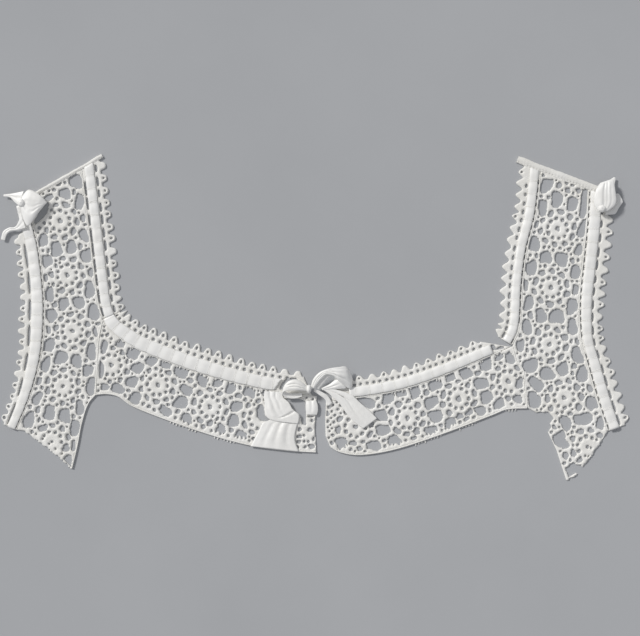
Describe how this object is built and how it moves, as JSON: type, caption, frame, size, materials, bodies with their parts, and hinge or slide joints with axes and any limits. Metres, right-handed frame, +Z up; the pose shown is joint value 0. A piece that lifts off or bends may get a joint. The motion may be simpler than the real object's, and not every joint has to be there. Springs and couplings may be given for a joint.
{
  "type": "lace dress yoke",
  "caption": "Flat lace front yoke with shoulder straps, a front band open at the centre, ribbon-run picot edgings and ribbon bows.",
  "frame": {"origin": "on the surface the yoke lies on, under the middle of its outline", "axes": "+X to the right across the front as laid out, +Y up the straps towards the shoulders, +Z up from the surface"},
  "size_m": [0.44, 0.2288, 0.0102],
  "materials": {
    "lace": "bleached cotton lace, matt, padded white stitching",
    "ribbon": "white satin ribbon, soft sheen",
    "binding": "white cotton tape, plain weave, matt"
  },
  "bodies": {
    "root": {"strap_left": "lace", "strap_right": "lace", "band_left": "lace", "band_right": "lace", "neck_strap_left_beading": "lace", "neck_band_left_beading": "lace", "neck_strap_right_beading": "lace", "neck_band_right_beading": "lace", "arm_left_beading": "lace", "arm_right_beading": "lace", "neck_strap_left_ribbon": "ribbon", "neck_band_left_ribbon": "ribbon", "neck_strap_right_ribbon": "ribbon", "neck_band_right_ribbon": "ribbon", "arm_left_ribbon": "ribbon", "arm_right_ribbon": "ribbon", "bow_loop_left": "ribbon", "bow_loop_right": "ribbon", "bow_knot": "ribbon", "bow_tail_left": "ribbon", "bow_tail_right": "ribbon", "shoulder_bow_left_loop": "ribbon", "shoulder_bow_left_knot": "ribbon", "shoulder_bow_left_upper": "ribbon", "shoulder_bow_left_lower": "ribbon", "shoulder_bow_right_loop": "ribbon", "shoulder_bow_right_knot": "ribbon", "shoulder_bow_right_upper": "ribbon", "shoulder_bow_right_outer": "ribbon", "shoulder_binding_left": "binding", "shoulder_binding_right": "binding"}
  },
  "joints": []
}
